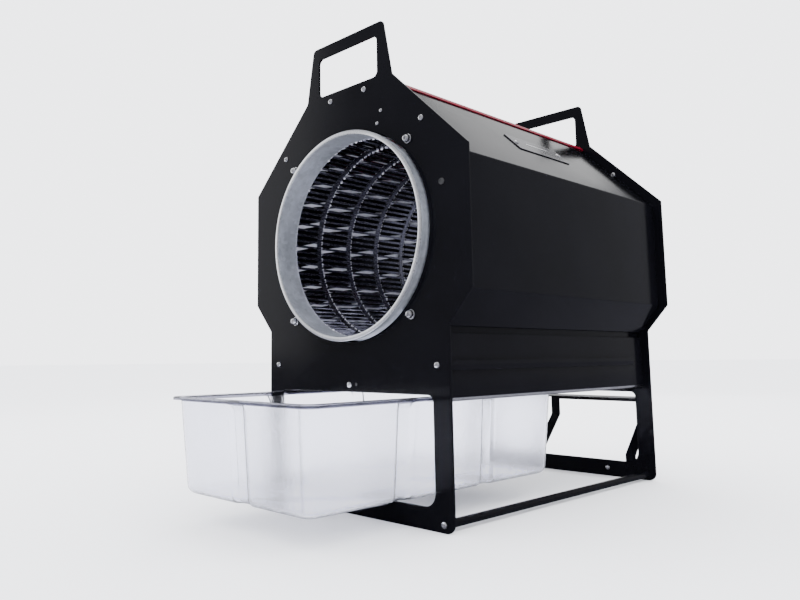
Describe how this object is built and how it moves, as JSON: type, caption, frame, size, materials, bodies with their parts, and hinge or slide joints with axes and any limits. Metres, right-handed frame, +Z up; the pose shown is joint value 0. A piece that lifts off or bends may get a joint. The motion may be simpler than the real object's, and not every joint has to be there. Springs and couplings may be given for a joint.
{
  "type": "rotary drum tumbler",
  "caption": "Bench-top rotary drum tumbler: slotted drum on rollers between two black end plates with grip holes, folded housing, red lid and clear slide-out tray.",
  "frame": {"origin": "middle of the footprint on the floor, with the tray pulled out as stored", "axes": "+Z up; +Y along the drum from the open front end and tray to the drive end; +X to the right seen from the front"},
  "size_m": [0.482, 0.9526, 0.765],
  "materials": {
    "black_steel": "satin black powder coat",
    "red_steel": "satin crimson powder coat",
    "zinc": "galvanised",
    "stainless": "bright stainless",
    "nylon": "natural nylon",
    "rubber": "moulded rubber",
    "clear_plastic": "clear moulded plastic",
    "black_plastic": "matt moulded plastic"
  },
  "bodies": {
    "machine": {"drive_cover": "black_steel", "drive_motor": "stainless", "foot_screw_left": "stainless", "foot_screw_right": "stainless", "front_axle_1": "stainless", "front_axle_2": "stainless", "front_axle_3": "stainless", "front_axle_4": "stainless", "front_end_plate": "black_steel", "gearbox": "zinc", "left_foot_tube": "black_steel", "left_housing_panel": "black_steel", "left_shelf_strap": "black_steel", "left_side_rail": "black_steel", "left_skirt": "black_steel", "left_tray_rail": "stainless", "lid_screw_left": "stainless", "lid_screw_right": "stainless", "middle_screw": "stainless", "name_plate": "stainless", "name_plate_screw_front": "stainless", "name_plate_screw_rear": "stainless", "power_inlet": "black_plastic", "rail_screw_left": "stainless", "rail_screw_right": "stainless", "rear_axle_1": "stainless", "rear_axle_2": "stainless", "rear_axle_3": "stainless", "rear_axle_4": "stainless", "rear_end_plate": "black_steel", "rear_shelf": "black_steel", "right_foot_tube": "black_steel", "right_housing_panel": "black_steel", "right_shelf_strap": "black_steel", "right_side_rail": "black_steel", "right_skirt": "black_steel", "right_tray_rail": "stainless", "roof_screw_left": "stainless", "roof_screw_right": "stainless", "shelf_screw": "stainless", "side_plug": "black_plastic", "top_lid": "red_steel"},
    "drum": {"drum_screen": "zinc", "drum_cage": "stainless", "front_collar": "zinc", "rear_collar": "zinc"},
    "drive": {"drive_tyre": "rubber", "drive_wheel": "black_plastic", "drive_shaft": "stainless"},
    "tray": {"tray": "clear_plastic"},
    "switch": {"power_switch": "black_plastic"},
    "knob": {"speed_knob": "black_plastic"},
    "front_roller_1_body": {"front_roller_1": "nylon"},
    "front_roller_2_body": {"front_roller_2": "nylon"},
    "front_roller_3_body": {"front_roller_3": "nylon"},
    "front_roller_4_body": {"front_roller_4": "nylon"},
    "rear_roller_1_body": {"rear_roller_1": "nylon"},
    "rear_roller_2_body": {"rear_roller_2": "nylon"},
    "rear_roller_3_body": {"rear_roller_3": "nylon"},
    "rear_roller_4_body": {"rear_roller_4": "nylon"}
  },
  "joints": [
    {"name": "drum_spin", "type": "hinge", "parent": "machine", "child": "drum", "pos_m": [0, 0, 0.43], "axis": [0, 1, 0], "continuous": true},
    {"name": "drive_spin", "type": "hinge", "parent": "machine", "child": "drive", "pos_m": [0, 0.3477, 0.6138], "axis": [0, 1, 0], "continuous": true},
    {"name": "front_roller_1_spin", "type": "hinge", "parent": "machine", "child": "front_roller_1_body", "pos_m": [0.13103, -0.2353, 0.56103], "axis": [0, 1, 0], "continuous": true},
    {"name": "front_roller_2_spin", "type": "hinge", "parent": "machine", "child": "front_roller_2_body", "pos_m": [-0.13103, -0.2353, 0.56103], "axis": [0, 1, 0], "continuous": true},
    {"name": "front_roller_3_spin", "type": "hinge", "parent": "machine", "child": "front_roller_3_body", "pos_m": [-0.13103, -0.2353, 0.29897], "axis": [0, 1, 0], "continuous": true},
    {"name": "front_roller_4_spin", "type": "hinge", "parent": "machine", "child": "front_roller_4_body", "pos_m": [0.13103, -0.2353, 0.29897], "axis": [0, 1, 0], "continuous": true},
    {"name": "rear_roller_1_spin", "type": "hinge", "parent": "machine", "child": "rear_roller_1_body", "pos_m": [0.13103, 0.3467, 0.56103], "axis": [0, 1, 0], "continuous": true},
    {"name": "rear_roller_2_spin", "type": "hinge", "parent": "machine", "child": "rear_roller_2_body", "pos_m": [-0.13103, 0.3467, 0.56103], "axis": [0, 1, 0], "continuous": true},
    {"name": "rear_roller_3_spin", "type": "hinge", "parent": "machine", "child": "rear_roller_3_body", "pos_m": [-0.13103, 0.3467, 0.29897], "axis": [0, 1, 0], "continuous": true},
    {"name": "rear_roller_4_spin", "type": "hinge", "parent": "machine", "child": "rear_roller_4_body", "pos_m": [0.13103, 0.3467, 0.29897], "axis": [0, 1, 0], "continuous": true},
    {"name": "tray_slide", "type": "slide", "parent": "machine", "child": "tray", "axis": [0, 1, 0], "range_m": [-0.25, 0.22]},
    {"name": "switch_rock", "type": "hinge", "parent": "machine", "child": "switch", "pos_m": [-0.04, 0.4623, 0.63475], "axis": [1, 0, 0], "range_deg": [-7, 7]},
    {"name": "knob_turn", "type": "hinge", "parent": "machine", "child": "knob", "pos_m": [0, 0.4623, 0.63475], "axis": [0, 1, 0], "range_deg": [-150, 150]}
  ],
  "couplings": [
    {"joint": "drive_spin", "follows": "drum_spin", "ratio": -9.1944},
    {"joint": "front_roller_1_spin", "follows": "drum_spin", "ratio": -8.4872},
    {"joint": "front_roller_2_spin", "follows": "drum_spin", "ratio": -8.4872},
    {"joint": "front_roller_3_spin", "follows": "drum_spin", "ratio": -8.4872},
    {"joint": "front_roller_4_spin", "follows": "drum_spin", "ratio": -8.4872},
    {"joint": "rear_roller_1_spin", "follows": "drum_spin", "ratio": -8.4872},
    {"joint": "rear_roller_2_spin", "follows": "drum_spin", "ratio": -8.4872},
    {"joint": "rear_roller_3_spin", "follows": "drum_spin", "ratio": -8.4872},
    {"joint": "rear_roller_4_spin", "follows": "drum_spin", "ratio": -8.4872}
  ]
}
